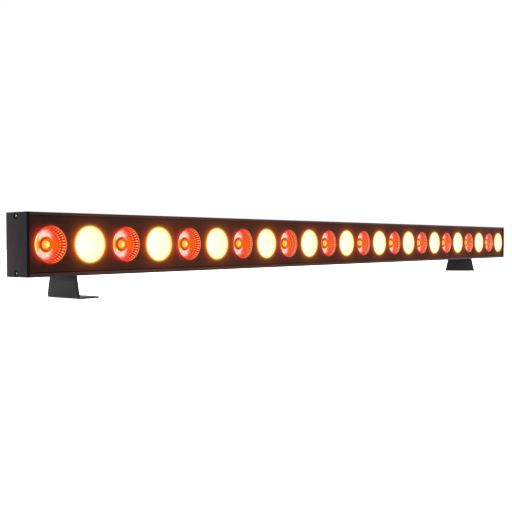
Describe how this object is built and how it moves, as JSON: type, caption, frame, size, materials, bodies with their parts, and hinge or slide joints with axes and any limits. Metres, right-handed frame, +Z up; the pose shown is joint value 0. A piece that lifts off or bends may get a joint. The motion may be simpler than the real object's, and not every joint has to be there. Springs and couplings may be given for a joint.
{
  "type": "led pixel batten",
  "caption": "Slim black stage light bar with a row of lensed colour emitters, a rear driver housing with sockets and menu, and sliding, swivelling foot brackets.",
  "frame": {"origin": "middle of the bounding box's floor, on the surface that the feet stand on", "axes": "+X along the bar towards the right end as seen from the light's front, -Y the way the light shines, +Z up"},
  "size_m": [1, 0.0791, 0.0758],
  "materials": {
    "bar_finish": "satin black powder coat on aluminium",
    "panel_finish": "satin black anodised sheet",
    "black_screw": "black zinc plated steel",
    "zinc_steel": "bright zinc plated steel",
    "board_white": "white solder mask on an aluminium core",
    "board_green": "green glass-epoxy circuit board",
    "module_metal": "plain aluminium module case",
    "lens_red": "clear acrylic lens lit orange-red",
    "lens_warm": "clear acrylic lens lit warm white",
    "black_plastic": "moulded black glass-filled plastic",
    "window_glass": "smoked clear plastic window",
    "button_grey": "moulded grey plastic"
  },
  "bodies": {
    "bar": {"housing": "bar_finish", "front_panel": "panel_finish", "end_cap_left": "bar_finish", "end_cap_right": "bar_finish", "end_cap_screw_left_top": "black_screw", "end_cap_screw_left_bottom": "black_screw", "end_cap_screw_right_top": "black_screw", "end_cap_screw_right_bottom": "black_screw", "led_board": "board_white", "lens_01": "lens_red", "lens_02": "lens_warm", "lens_03": "lens_red", "lens_04": "lens_warm", "lens_05": "lens_red", "lens_06": "lens_warm", "lens_07": "lens_red", "lens_08": "lens_warm", "lens_09": "lens_red", "lens_10": "lens_warm", "lens_11": "lens_red", "lens_12": "lens_warm", "lens_13": "lens_red", "lens_14": "lens_warm", "lens_15": "lens_red", "lens_16": "lens_warm", "lens_17": "lens_red", "lens_18": "lens_warm", "lens_19": "lens_red", "lens_20": "lens_warm", "lens_21": "lens_red", "lens_22": "lens_warm", "lens_23": "lens_red", "lens_24": "lens_warm", "driver_cover": "bar_finish", "cover_screw_left": "black_screw", "cover_screw_right": "black_screw", "driver_end_plate_left": "bar_finish", "driver_end_plate_right": "bar_finish", "power_supply": "module_metal", "control_board": "board_green", "display_window": "window_glass", "power_in": "black_plastic", "power_out": "black_plastic", "dmx_in": "black_plastic", "dmx_out": "black_plastic", "fuse_holder": "black_plastic"},
    "carriage_left": {"t_nut_left": "zinc_steel", "foot_bolt_left": "zinc_steel", "foot_washer_left": "zinc_steel"},
    "foot_left": {"foot_bracket_left": "bar_finish"},
    "carriage_right": {"t_nut_right": "zinc_steel", "foot_bolt_right": "zinc_steel", "foot_washer_right": "zinc_steel"},
    "foot_right": {"foot_bracket_right": "bar_finish"},
    "button_1": {"menu_button_1": "button_grey"},
    "button_2": {"menu_button_2": "button_grey"},
    "button_3": {"menu_button_3": "button_grey"},
    "button_4": {"menu_button_4": "button_grey"},
    "latch": {"dmx_out_latch": "button_grey"},
    "fuse_knob": {"fuse_cap": "black_plastic"}
  },
  "joints": [
    {"name": "foot_slide_left", "type": "slide", "parent": "bar", "child": "carriage_left", "axis": [1, 0, 0], "range_m": [-0.032, 0.38]},
    {"name": "foot_swivel_left", "type": "hinge", "parent": "carriage_left", "child": "foot_left", "pos_m": [-0.4409, -0.01515, 0.0205], "axis": [0, 0, 1], "range_deg": [-90, 90]},
    {"name": "foot_slide_right", "type": "slide", "parent": "bar", "child": "carriage_right", "axis": [1, 0, 0], "range_m": [-0.34, 0.107]},
    {"name": "foot_swivel_right", "type": "hinge", "parent": "carriage_right", "child": "foot_right", "pos_m": [0.366, -0.01515, 0.0205], "axis": [0, 0, 1], "range_deg": [-116, 64]},
    {"name": "menu_button_1_press", "type": "slide", "parent": "bar", "child": "button_1", "axis": [0, -1, 0], "range_m": [0, 0.001], "stiffness_N_per_m": 300, "springref_m": -0.002},
    {"name": "menu_button_2_press", "type": "slide", "parent": "bar", "child": "button_2", "axis": [0, -1, 0], "range_m": [0, 0.001], "stiffness_N_per_m": 300, "springref_m": -0.002},
    {"name": "menu_button_3_press", "type": "slide", "parent": "bar", "child": "button_3", "axis": [0, -1, 0], "range_m": [0, 0.001], "stiffness_N_per_m": 300, "springref_m": -0.002},
    {"name": "menu_button_4_press", "type": "slide", "parent": "bar", "child": "button_4", "axis": [0, -1, 0], "range_m": [0, 0.001], "stiffness_N_per_m": 300, "springref_m": -0.002},
    {"name": "dmx_latch_press", "type": "slide", "parent": "bar", "child": "latch", "axis": [0, -1, 0], "range_m": [0, 0.001], "stiffness_N_per_m": 400, "springref_m": -0.002},
    {"name": "fuse_cap_turn", "type": "hinge", "parent": "bar", "child": "fuse_knob", "pos_m": [0.105, 0.035, 0.0483], "axis": [0, 1, 0], "range_deg": [0, 75]}
  ]
}
